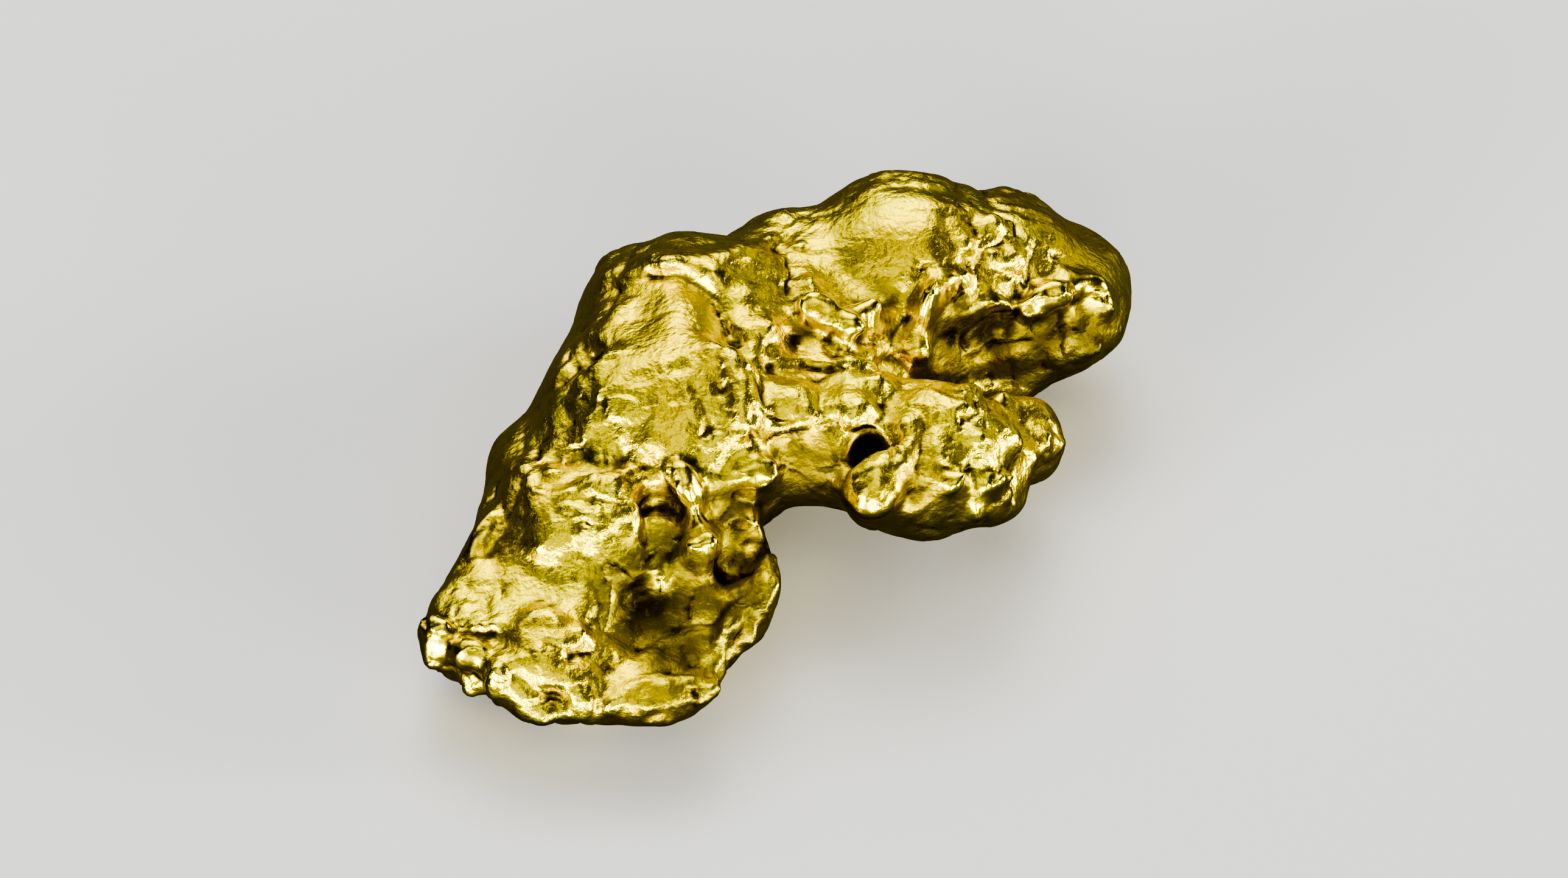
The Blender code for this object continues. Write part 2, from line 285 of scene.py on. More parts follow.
CREASES = {
    "crown furrow": Crease(
        [(-0.93, 1.83), (-0.65, 1.76), (-0.53, 1.71), (-0.45, 1.60), (-0.42, 1.48), (-0.36, 1.36)], 0.07, 0.07
    ),
    "shoulder furrow": Crease([(-0.36, 1.36), (-0.25, 1.27), (-0.16, 1.16), (-0.14, 0.97)], 0.06, 0.06),
    "back ridge": Crease(
        [(-0.83, 1.88), (-0.60, 1.90), (-0.37, 1.95), (-0.16, 2.02), (-0.07, 2.06)], 0.10, -0.05
    ),
    "side ridge": Crease(
        [(-0.51, 1.30), (-0.35, 1.25), (-0.29, 1.06), (-0.27, 0.88), (-0.25, 0.74)], 0.10, -0.035
    ),
    "upright groove": Crease([(-0.58, 1.02), (-0.54, 0.72)], 0.06, 0.05),
    "short groove": Crease([(-0.46, 1.16), (-0.39, 0.97)], 0.04, 0.04),
    "waist furrow": Crease(
        [(-0.05, 1.20), (0.14, 1.20), (0.33, 1.18), (0.60, 1.17), (0.80, 1.20)], 0.07, 0.06
    ),
    "lobe groove": Crease([(0.25, 1.06), (0.26, 0.90), (0.35, 0.74)], 0.05, 0.05),
    "arm groove": Crease([(0.70, 0.93), (0.74, 0.69)], 0.06, 0.05),
    "neck crease": Crease([(-0.09, 2.00), (0.05, 2.12)], 0.05, 0.05),
    "neck ridge": Crease([(-0.04, 1.90), (0.12, 2.03)], 0.05, -0.04),
    "brow groove": Crease([(0.81, 1.48), (0.88, 1.71), (1.00, 1.88)], 0.06, 0.06),
    "patch edge": Crease([(-1.28, -0.32), (-1.30, -0.60)], 0.05, 0.05),
    "knuckle crease": Crease([(-0.91, 0.23), (-0.93, 0.00)], 0.05, 0.05),
    "outer rim": Crease(
        [(-0.09, -0.14), (-0.13, -0.37), (-0.17, -0.56), (-0.23, -0.69), (-0.32, -0.86), (-0.46, -0.97)],
        0.06,
        -0.05,
    ),
    "front rim": Crease([(-0.46, -0.97), (-0.65, -1.06), (-0.93, -1.11)], 0.06, -0.03),
    "diagonal ridge": Crease([(-1.22, -1.18), (-1.08, -1.02), (-0.93, -0.95)], 0.09, -0.03),
    "left arc": Crease([(-1.74, 0.60), (-1.73, 0.46), (-1.64, 0.35)], 0.05, -0.04),
}

DENTS = [
    Dent(0.60, 0.57, 0.17, 0.10),
    Dent(-0.74, 0.97, 0.08, 0.04),
    Dent(-0.72, 1.18, 0.09, 0.04),
    Dent(-1.37, -0.09, 0.10, 0.05),
    Dent(-1.90, -0.35, 0.08, 0.04),
    Dent(-2.10, -0.53, 0.07, 0.04),
    Dent(-1.44, -0.79, 0.09, 0.05),
    Dent(-1.53, -1.09, 0.14, 0.05),
    Dent(-0.21, 0.67, 0.08, 0.04),
    Dent(-0.14, 1.13, 0.08, 0.05),
    Dent(0.30, 1.53, 0.07, 0.04),
    Dent(2.06, 1.62, 0.09, 0.05),
]

CALMS = [
    Patch(0.68, 2.10, 0.55, 0.80),
    Patch(-0.85, 1.52, 0.42, 0.70),
    Patch(-0.80, 0.95, 0.48, 0.45),
    Patch(-0.45, 1.92, 0.35, 0.60),
    Patch(-0.14, 1.60, 0.24, 0.60),
    Patch(0.10, 1.03, 0.22, 0.55),
    Patch(0.45, 0.97, 0.20, 0.55),
    Patch(1.45, 0.95, 0.40, 0.55),
    Patch(-1.65, -0.36, 0.40, 0.60),
    Patch(2.30, 1.95, 0.55, 0.85),
    Patch(-1.75, 1.30, 0.50, 0.70),
    Patch(-2.10, 0.60, 0.70, 0.70),
]

ROUGHS = [
    Patch(-1.15, 0.30, 0.55, 0.9),
    Patch(-0.35, -0.45, 0.40, 0.8),
    Patch(-1.75, -0.95, 0.50, 0.9),
    Patch(-2.15, -0.65, 0.40, 0.7),
    Patch(1.15, 0.40, 0.55, 0.9),
    Patch(1.65, 0.65, 0.35, 0.6),
    Patch(0.40, 1.48, 0.35, 0.9),
    Patch(1.45, 1.85, 0.50, 1.0),
    Patch(2.00, 1.60, 0.45, 0.7),
    Patch(-1.38, 1.22, 0.28, 0.6),
    Patch(-0.83, 0.15, 0.28, 0.9),
    Patch(-0.33, -0.18, 0.28, 0.9),
]

# Where iron staining has stayed, and where shade is painted dark on the gold, as in the band under the head's
# ledge and at the neck's edge.
STAINS_AND_SHADE = [
    Patch(-0.92, -0.42, 0.40, 1.00),
    Patch(-0.75, -0.10, 0.26, 0.85),
    Patch(-0.72, -0.74, 0.32, 0.85),
    Patch(-0.36, -0.42, 0.28, 0.85),
    Patch(-0.12, -0.04, 0.30, 1.00),
    Patch(-0.70, -1.15, 0.30, 0.50),
    Patch(-0.30, 0.22, 0.28, 0.75),
    Patch(0.18, 0.42, 0.28, 0.80),
    Patch(0.55, 0.56, 0.20, 1.00),
    Patch(0.95, 0.10, 0.45, 0.50),
    Patch(1.16, 1.42, 0.26, 0.95),
    Patch(1.48, 1.44, 0.26, 1.00),
    Patch(1.82, 1.42, 0.24, 0.95),
    Patch(2.14, 1.40, 0.24, 0.90),
    Patch(0.70, 1.62, 0.16, 0.60),
    Patch(0.88, 0.35, 0.14, 0.80),
    Patch(-2.20, -1.00, 0.30, 0.60),
]


class NuggetSkinSettings(bpy.types.PropertyGroup):
    """Sizes of the skin's relief"""

    fusing_grain: bpy.props.FloatProperty(
        name="Fusing Grain", description="Grain at which the lumps are fused into the skin",
        default=0.000030, unit="LENGTH", precision=6,
    )
    skin_grain: bpy.props.FloatProperty(
        name="Skin Grain", description="Grain of the finished skin",
        default=0.0000225, unit="LENGTH", precision=7,
    )
    crumple_size: bpy.props.FloatProperty(
        name="Crumple Size", description="Distance from one rounded cell of the crumpled skin to the next",
        default=0.00020, unit="LENGTH", precision=6,
    )
    crumple_depth: bpy.props.FloatProperty(
        name="Crumple Depth", description="Depth of the creases between those cells",
        default=0.000125, unit="LENGTH", precision=6,
    )
    fine_size: bpy.props.FloatProperty(
        name="Fine Crumple Size", description="The same distance for the finer cells",
        default=0.000095, unit="LENGTH", precision=6,
    )
    fine_depth: bpy.props.FloatProperty(
        name="Fine Crumple Depth", description="Depth of the creases between the finer cells",
        default=0.000036, unit="LENGTH", precision=6,
    )
    triangles: bpy.props.IntProperty(
        name="Triangles", description="How many triangles the finished skin is thinned to", default=196000
    )
    seed: bpy.props.IntProperty(name="Seed", description="Start of the random draws", default=11)


class GoldSettings(bpy.types.PropertyGroup):
    """Colours and gloss of the gold"""

    gold: bpy.props.FloatVectorProperty(
        name="Gold", description="Colour of the clean gold", subtype="COLOR", default=(0.85, 0.655, 0.045)
    )
    # Partly burnished wear and partly painted highlight: the worn high points are painted this paler gold.
    burnish_and_highlight_gold: bpy.props.FloatVectorProperty(
        name="Pale Gold", description="Colour where high points are burnished", subtype="COLOR",
        default=(0.90, 0.77, 0.08),
    )
    green_gold: bpy.props.FloatVectorProperty(
        name="Green Gold", description="Colour of the slightly greener patches", subtype="COLOR",
        default=(0.80, 0.665, 0.045),
    )
    # Painted shade and iron staining: the deep hollows and the patches of staining and shade are painted this
    # near-black colour.
    stain_and_shade: bpy.props.FloatVectorProperty(
        name="Iron Stain_and_Shade", description="Colour of the stain in deep creases", subtype="COLOR",
        default=(0.040, 0.027, 0.010),
    )
    # Painted shade: the fine creases are painted this dark colour.
    crease_shade: bpy.props.FloatVectorProperty(
        name="Crease_Shade", description="Colour of the fine creases", subtype="COLOR", default=(0.10, 0.070, 0.018)
    )
    roughness: bpy.props.FloatProperty(
        name="Roughness", description="Roughness of the plain skin", subtype="FACTOR", default=0.28,
        min=0, max=1,
    )


class StageSettings(bpy.types.PropertyGroup):
    """The floor, the room and the camera"""

    floor: bpy.props.FloatVectorProperty(
        name="Floor", description="Colour of the floor", subtype="COLOR", default=(0.74, 0.74, 0.72)
    )
    mirrored_floor: bpy.props.FloatVectorProperty(
        name="Mirrored Floor", description="Colour of the floor in the gold's reflections", subtype="COLOR",
        default=(0.02, 0.02, 0.019),
    )
    surround: bpy.props.FloatProperty(
        name="Surround", description="Brightness of the room between its glows", default=0.005
    )
    lens: bpy.props.FloatProperty(
        name="Lens", description="Focal length of the camera, in millimetres", default=180, unit="CAMERA"
    )
    fill: bpy.props.FloatProperty(
        name="Fill", description="Share of the picture's height that the nugget takes", default=0.76,
        subtype="FACTOR", min=0.1, max=1,
    )


def clamped(values):
    return np.clip(values, 0, 1)


def eased(values, low, high):
    """0 below low, 1 above high, and an S-shaped rise between them."""
    share = clamped((values - low) / (high - low))
    return share * share * (3 - 2 * share)


def unit(vectors):
    return vectors / np.linalg.norm(vectors, axis=-1, keepdims=True)


def face_plane():
    """The face plane's two directions, and the direction that it faces."""
    across = np.array((1.0, 0.0, 0.0))
    up = np.array((0.0, math.sin(SIGHT_RISE), math.cos(SIGHT_RISE)))
    toward = np.array((0.0, -math.cos(SIGHT_RISE), math.sin(SIGHT_RISE)))
    return across, up, toward


def rows_of(items, name, width, kind):
    """One property of every item, a row each."""
    flat = np.empty(len(items) * width, kind)
    items.foreach_get(name, flat)
    return flat.reshape(-1, width)


def points_of(mesh):
    return rows_of(mesh.vertices, "co", 3, np.float32).astype(float)


def normals_of(mesh):
    return rows_of(mesh.vertices, "normal", 3, np.float32).astype(float)


def edges_of(mesh):
    return rows_of(mesh.edges, "vertices", 2, np.int32)


def triangles_of(mesh):
    mesh.calc_loop_triangles()
    return rows_of(mesh.loop_triangles, "vertices", TRIANGLE_SIDES, np.int32)


def set_points(mesh, points):
    mesh.vertices.foreach_set("co", points.astype(np.float32).ravel())
    mesh.update()


def push(mesh, lift):
    """Moves each vertex along its normal by its own lift."""
    set_points(mesh, points_of(mesh) + normals_of(mesh) * lift[:, None])


def triangle_mesh(name, points, triangles):
    mesh = bpy.data.meshes.new(name)
    mesh.vertices.add(len(points))
    mesh.vertices.foreach_set("co", points.astype(np.float32).ravel())
    mesh.loops.add(triangles.size)
    mesh.loops.foreach_set("vertex_index", triangles.astype(np.int32).ravel())
    mesh.polygons.add(len(triangles))
    mesh.polygons.foreach_set("loop_start", np.arange(0, triangles.size, TRIANGLE_SIDES, dtype=np.int32))
    mesh.update(calc_edges=True)
    return mesh


def mesh_object(name, points, triangles):
    obj = bpy.data.objects.new(name, triangle_mesh(name, points, triangles))
    bpy.context.scene.collection.objects.link(obj)
    return obj


def merged_node(node):
    """The points, in millimetres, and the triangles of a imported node, with its doubles merged."""
    bm = bmesh.new()
    bm.from_mesh(node.data)
    bmesh.ops.remove_doubles(bm, verts=bm.verts, dist=DOUBLES_APART * MM)
    points = np.array([v.co for v in bm.verts]) / MM
    triangles = np.array([[v.index for v in f.verts] for f in bm.faces])
    bm.free()
    return points, triangles


def shell(around, down):
    """A unit ball on a grid of two parameters, its poles closed by fans.

    A point is (cos round sin down, sin round sin down, cos down), with round from 0 to two pi and down from
    0 to pi."""
    turns = np.arange(around) * 2 * math.pi / around
    falls = np.arange(1, down) * math.pi / down
    rounds, downs = np.meshgrid(turns, falls)
    ring = np.stack([np.cos(rounds) * np.sin(downs), np.sin(rounds) * np.sin(downs), np.cos(downs)], axis=-1)
    points = np.concatenate([[[0, 0, 1]], ring.reshape(-1, 3), [[0, 0, -1]]])
    here = np.arange(around)
    after = (here + 1) % around
    rows = 1 + np.arange(down - 2)[:, None] * around
    a, b, c, d = rows + here, rows + after, rows + around + after, rows + around + here
    last, foot = 1 + (down - 2) * around, len(points) - 1
    top = np.stack([np.zeros_like(here), 1 + here, 1 + after], axis=-1)
    bottom = np.stack([np.full_like(here, foot), last + after, last + here], axis=-1)
    sides = [np.stack([a, d, c], axis=-1).reshape(-1, 3), np.stack([a, c, b], axis=-1).reshape(-1, 3)]
    return points, np.concatenate([top, *sides, bottom])


def pebble_shells(centres, along, normals, radii):
    """Closed lumps, all at once: each is its centre plus the unit ball's three coordinates times the pebble's
    radii, carried along its length, its width and its normal. The third coordinate is taken to a power under
    1, which flattens the top, and noise moves the whole lump's points about, so that none is an ellipse."""
    ball, faces = shell(SHELL_AROUND, SHELL_DOWN)
    ball[:, 2] = np.sign(ball[:, 2]) * np.abs(ball[:, 2]) ** FLAT_TOP
    along = unit(along - (along * normals).sum(axis=1, keepdims=True) * normals)
    axes = np.stack([along, np.cross(normals, along), normals], axis=1)
    points = centres[:, None] + np.einsum("pk,nk,nkj->npj", ball, radii, axes)
    points = wandered(points.reshape(-1, 3), LUMP_WANDER, LUMP_STRAY, LUMP_SEED)
    offsets = np.arange(len(centres))[:, None, None] * len(ball)
    return points, (faces[None] + offsets).reshape(-1, 3)


def apply_modifiers(obj):
    bpy.context.view_layer.update()
    mesh = bpy.data.meshes.new_from_object(obj.evaluated_get(bpy.context.evaluated_depsgraph_get()))
    obj.modifiers.clear()
    obj.data = mesh


def voxel_remesh(obj, grain, passes):
    """Fuses what overlaps into one even skin, and evens that out."""
    remesh = obj.modifiers.new("fuse", "REMESH")
    remesh.mode = "VOXEL"
    remesh.voxel_size = grain
    soften = obj.modifiers.new("soften", "SMOOTH")
    soften.factor = 0.5
    soften.iterations = passes
    apply_modifiers(obj)


def thin_out(obj, triangles):
    """Merges the least telling faces until so many triangles are left."""
    thin = obj.modifiers.new("thin", "DECIMATE")
    thin.ratio = min(1, triangles / sum(len(face.vertices) - 2 for face in obj.data.polygons))
    apply_modifiers(obj)


class NearFace:
    """Finds the point of a surface straight behind a place on the face plane, and its normal."""

    def __init__(self, mesh):
        bm = bmesh.new()
        bm.from_mesh(mesh)
        self.tree = BVHTree.FromBMesh(bm)
        bm.free()

    def at(self, place):
        across, up, toward = face_plane()
        spot = across * place[0] + up * place[1]
        hit, normal = self.tree.ray_cast(Vector(spot + toward * FAR), Vector(-toward))[:2]
        if hit is None:
            hit, normal = self.tree.find_nearest(Vector(spot))[:2]
        return np.array(hit), np.array(normal)


def bell(points, centre, radius):
    """1 at the centre, falling to 0 at the radius like a bell."""
    return clamped(1 - ((points - centre) ** 2).sum(axis=1) / radius**2) ** BELL_POWER


def patch_share(points, face, patch):
    """A patch's share at its middle, falling to 0 a little way beyond its radius."""
    middle = face.at((patch.across, patch.up))[0]
    return patch.share * bell(points, middle, patch.radius * PATCH_REACH) ** 0.5


def along_route(points, route, half_width):
    """1 on the route, falling to 0 at its half width like a bell."""
    nearest = np.full(len(points), np.inf)
    for start, end in zip(route, route[1:]):
        run = end - start
        share = clamped((points - start) @ run / (run @ run))
        nearest = np.minimum(nearest, ((points - start - share[:, None] * run) ** 2).sum(axis=1))
    return clamped(1 - nearest / half_width**2) ** BELL_POWER


def lattice_draws(cells, seed):
    """Three numbers from 0 to 1 for each whole-number cell, always the same for the same cell and seed."""
    x, y, z = (cells[:, k].astype(np.uint64) for k in range(3))
    mixed = x * STIR_X ^ y * STIR_Y
    mixed ^= z * STIR_Z + np.uint64(seed * SEED_STEP + 1)
    draws = []
    for _ in range(3):
        mixed = (mixed ^ (mixed >> np.uint64(31))) * STIR_ALL
        mixed ^= mixed >> np.uint64(29)
        draws.append((mixed >> np.uint64(40)).astype(float) / 2**24)
    return np.stack(draws, axis=1)


def drift(points, size, seed):
    """Gradient noise from about -1 to 1: at each corner of a lattice cell a random slope, blended between the
    corners by an S-shaped step."""
    spot = points / size
    home = np.floor(spot).astype(np.int64)
    part = spot - home
    fade = part**3 * (part * (part * 6 - 15) + 10)
    total = np.zeros(len(points))
    for corner in np.ndindex(2, 2, 2):
        slope = lattice_draws(home + corner, seed) * 2 - 1
        weight = np.where(corner, fade, 1 - fade).prod(axis=1)
        total += weight * (slope * (part - corner)).sum(axis=1)
    return total * NOISE_GAIN


def wandered(points, size, reach, seed):
    """The points moved about by noise, so that a pattern read there has no straight lines."""
    moves = [drift(points, size, seed + k) for k in range(3)]
    return points + reach * np.stack(moves, axis=1)


def caps(points, size, shape, seed):
    """Overlapping caps, worn flat on top: at each point, the highest of the caps around. In units of the
    size, a cap's height is its own level plus its own slope times the offset from its seed, less the bulge
    times the offset squared, so that neighbours meet in sharp creases."""
    tilt, bulge = shape
    spot = wandered(points, size * 1.5, size * 0.25, seed) / size
    home = np.floor(spot).astype(np.int64)
    highest = np.full(len(points), -np.inf)
    for step in np.ndindex(3, 3, 3):
        cell = home + step - 1
        offset = spot - cell - lattice_draws(cell, seed)
        level = CAP_LEVEL * lattice_draws(cell, seed + 400)[:, 0]
        slope = tilt * (lattice_draws(cell, seed + 800) * 2 - 1)
        highest = np.maximum(highest, level + (slope * offset).sum(axis=1) - bulge * (offset**2).sum(axis=1))
    return highest - CAP_WORN * np.maximum(highest - CAP_WEAR, 0)


def folds(points, size, seed):
    """1 along winding lines where noise crosses zero, and 0 away from them."""
    winding = wandered(points, size, size * 0.3, seed + 5)
    return clamped(1 - FOLD_SHARPNESS * np.abs(drift(winding, size, seed))) ** 2


def averaged(values, edges, times):
    """Each vertex's value blended with its neighbours' mean, again and again."""
    count = len(values)
    a, b = edges[:, 0], edges[:, 1]
    degree = np.maximum(np.bincount(a, minlength=count) + np.bincount(b, minlength=count), 1)
    columns = values.reshape(count, -1).T.copy()
    for _ in range(times):
        for k, column in enumerate(columns):
            near = np.bincount(a, column[b], count) + np.bincount(b, column[a], count)
            columns[k] = 0.5 * column + 0.5 * near / degree
    return columns.T.reshape(values.shape)


def soften_calm(mesh, rough):
    """Evens the skin out where it is calm: each point moves towards its surroundings' average."""
    points = points_of(mesh)
    calm = clamped(1 - CALMING * rough)[:, None]
    set_points(mesh, points + calm * (averaged(points, edges_of(mesh), CALM_PASSES) - points))


def height_over_mean(mesh, times):
    """How far each vertex stands above the skin's own average around it, in millimetres."""
    points = points_of(mesh)
    mean = averaged(points, edges_of(mesh), times)
    return ((points - mean) * normals_of(mesh)).sum(axis=1)


def polish_share(points, face):
    """1 on top of the proud lumps, which are rubbed smooth, falling to 0 at their feet."""
    share = np.zeros(len(points))
    for lump in every_lump():
        if lump.rise >= PROUD_RISE:
            spread = bell(points, face.at((lump.across, lump.up))[0], 0.5 * (lump.length + lump.width))
            share = np.maximum(share, spread)
    return share


def stain_and_shade_share(points, face):
    """1 in the patches of iron staining and of painted shade, falling to 0 around it."""
    share = np.zeros(len(points))
    for stain_and_shade in STAINS_AND_SHADE:
        share = np.maximum(share, patch_share(points, face, stain_and_shade))
    return share


def rough_share(mesh, face):
    """How strong the texture is, from 0 to 1: full in the rough places, less over the rest, and least on
    the flanks and the back and in the calm places."""
    points = points_of(mesh)
    broad = unit(averaged(normals_of(mesh), edges_of(mesh), FACING_PASSES))
    facing = eased(broad @ unit(np.array(ROUGH_SIDE)), FLANK_EDGE, ROUGH_EDGE)
    share = FLANK_ROUGH + (PLAIN_ROUGH - FLANK_ROUGH) * facing
    for rough in ROUGHS:
        share += (1 - share) * patch_share(points, face, rough)
    for calm in CALMS:
        share *= 1 - patch_share(points, face, calm)
    return share * (1 - RUBBED_SHARE * polish_share(points, face))


def every_lump():
    return [lump for group in LUMPS.values() for lump in group]


def seated_lumps(face):
    """The centre, length direction, normal and radii of each lump that has a place of its own."""
    across, up, toward = face_plane()
    rubbed = np.array((0.0, -math.cos(RUBBED_RISE), math.sin(RUBBED_RISE)))
    rows = []
    for lump in every_lump():
        centre, normal = face.at((lump.across, lump.up))
        proud = lump.rise >= PROUD_RISE
        normal = unit(unit(normal) + (rubbed if proud else VIEW_LEAN * toward))
        lean = math.radians(lump.lean)
        along = across * math.cos(lean) + up * math.sin(lean)
        height = lump.rise * (PROUD_HEIGHT if proud else PLAIN_HEIGHT)
        rows.append((centre, along, normal, (lump.length * LUMP_SPREAD, lump.width * LUMP_SPREAD, height)))
    return [np.array(column) for column in zip(*rows)]


def add_lumps(skin, lumps):
    """Puts the lumps' closed shells into the skin's mesh, beside its own surface."""
    points = points_of(skin.data)
    shell_points, shell_triangles = pebble_shells(*lumps)
    triangles = np.concatenate([triangles_of(skin.data), shell_triangles + len(points)])
    skin.data = triangle_mesh("nugget_skin", np.concatenate([points, shell_points]), triangles)


def pressed_relief(points, face):
    """The creases, ridges and dents that have a place of their own."""
    lift = np.zeros(len(points))
    winding = wandered(points, CREASE_WANDER, CREASE_STRAY, CREASE_SEED)
    uneven = CREASE_DEPTH + CREASE_UNEVEN * drift(points, CREASE_CHANGE, CREASE_SEED + 9)
    for crease in CREASES.values():
        route = [face.at(place)[0] for place in crease.places]
        lift -= crease.depth * uneven * along_route(winding, route, crease.half_width)
    for dent in DENTS:
        lift -= dent.depth * bell(points, face.at((dent.across, dent.up))[0], dent.radius)
    return lift


def broad_texture(points, rough, settings):
    """Broad caps and winding folds, for how rough the skin is there."""
    depth, size = settings.crumple_depth / MM, settings.crumple_size / MM
    lift = BROAD_DEPTH * depth * caps(points, size * BROAD_CAPS, BROAD_SHAPE, settings.seed + 6)
    lift -= FOLD_DEPTH * depth * folds(points, size * BROAD_FOLDS, settings.seed + 2)
    return (lift - lift.mean()) * rough


def fine_texture(points, rough, settings):
    """Two finer sizes of caps: the middling ones fade on calm skin, and the finest hardly do."""
    depth, size = settings.crumple_depth / MM, settings.crumple_size / MM
    middling = caps(points, size, CRUMPLE_SHAPE, settings.seed + 1)
    fine = caps(points, settings.fine_size / MM, CRUMPLE_SHAPE, settings.seed + 3)
    lift = depth * (middling - middling.mean()) * (CALM_CRUMPLE + (1 - CALM_CRUMPLE) * rough)
    return lift + settings.fine_depth / MM * (fine - fine.mean()) * (CALM_FINE + (1 - CALM_FINE) * rough)


def keep_on_floor(mesh):
    """Lowers the skin until it rests on the floor again, and flattens what would go below."""
    points = points_of(mesh)
    points[:, 2] -= np.quantile(points[:, 2], SUNK_SHARE)
    points[:, 2] = np.maximum(points[:, 2], 0)
    set_points(mesh, points)


def store(mesh, name, values):
    attribute = mesh.attributes.new(name, "FLOAT", "POINT")
    attribute.data.foreach_set("value", values.astype(np.float32))


def build_skin(node, settings):
    """The nugget's skin as a mesh object in metres, with what its finish needs to know in attributes."""
    points, triangles = merged_node(node)
    skin = mesh_object("nugget_skin", points, triangles)
    voxel_remesh(skin, settings.fusing_grain / MM, SOLID_PASSES)
    face = NearFace(skin.data)
    add_lumps(skin, seated_lumps(face))
    voxel_remesh(skin, settings.fusing_grain / MM, SEATED_PASSES)
    points = points_of(skin.data)
    rough = rough_share(skin.data, face)
    push(skin.data, pressed_relief(points, face) + broad_texture(points, rough, settings))
    voxel_remesh(skin, settings.skin_grain / MM, SKIN_PASSES)
    rough = rough_share(skin.data, face)
    soften_calm(skin.data, rough)
    points = points_of(skin.data)
    push(skin.data, fine_texture(points, rough, settings))
    thin_out(skin, settings.triangles)
    keep_on_floor(skin.data)
    store(skin.data, "near_height", height_over_mean(skin.data, NEAR_PASSES))
    store(skin.data, "broad_height", height_over_mean(skin.data, BROAD_PASSES))
    store(skin.data, "polish", polish_share(points_of(skin.data), face))
    store(skin.data, "dirt_and_shade", stain_and_shade_share(points_of(skin.data), face))
    skin.data.transform(Matrix.Scale(MM, 4))
    skin.data.shade_smooth()
    return skin


def node_at(tree, kind, x, y, **values):
    """A shader node at a place on the tree's sheet, with settings and input values given by name."""
    node = tree.nodes.new(kind)
    node.location = (x * COLUMN, -y * ROW)
    for name, value in values.items():
        if hasattr(node, name):
            setattr(node, name, value)
        else:
            node.inputs[name.replace("_", " ")].default_value = value
    return node


def feed(tree, sockets, values):
    """Gives each socket its value: a link where that is another node's output, or a constant."""
    for socket, value in zip(sockets, values):
        if isinstance(value, bpy.types.NodeSocket):
            tree.links.new(value, socket)
        else:
            socket.default_value = value


def mask_of(tree, value, limits, x, y):
    """0 at the first limit and 1 at the second, with an S-shaped rise between them."""
    ranged = node_at(tree, "ShaderNodeMapRange", x, y, interpolation_type="SMOOTHSTEP")
    feed(tree, (ranged.inputs[name] for name in ("Value", "From Min", "From Max")), (value, *limits))
    return ranged.outputs["Result"]


def math_of(tree, operation, values, x, y):
    node = node_at(tree, "ShaderNodeMath", x, y, operation=operation)
    feed(tree, node.inputs, values)
    return node.outputs["Value"]


def blend_of(tree, share, first, second, x, y):
    """The first colour where the share is 0, and the second where it is 1."""
    node = node_at(tree, "ShaderNodeMix", x, y, data_type="RGBA")
    colours = [socket for socket in node.inputs if socket.type == "RGBA"]
    feed(tree, (node.inputs["Factor"], *colours), (share, first, second))
    return next(socket for socket in node.outputs if socket.type == "RGBA")


def attribute_of(tree, name, x, y):
    return node_at(tree, "ShaderNodeAttribute", x, y, attribute_name=name).outputs["Fac"]


def noise_of(tree, where, kind, x, y):
    scale, detail = kind
    noise = node_at(tree, "ShaderNodeTexNoise", x, y, Scale=scale, Detail=detail)
    tree.links.new(where, noise.inputs["Vector"])
    return noise.outputs["Fac"]


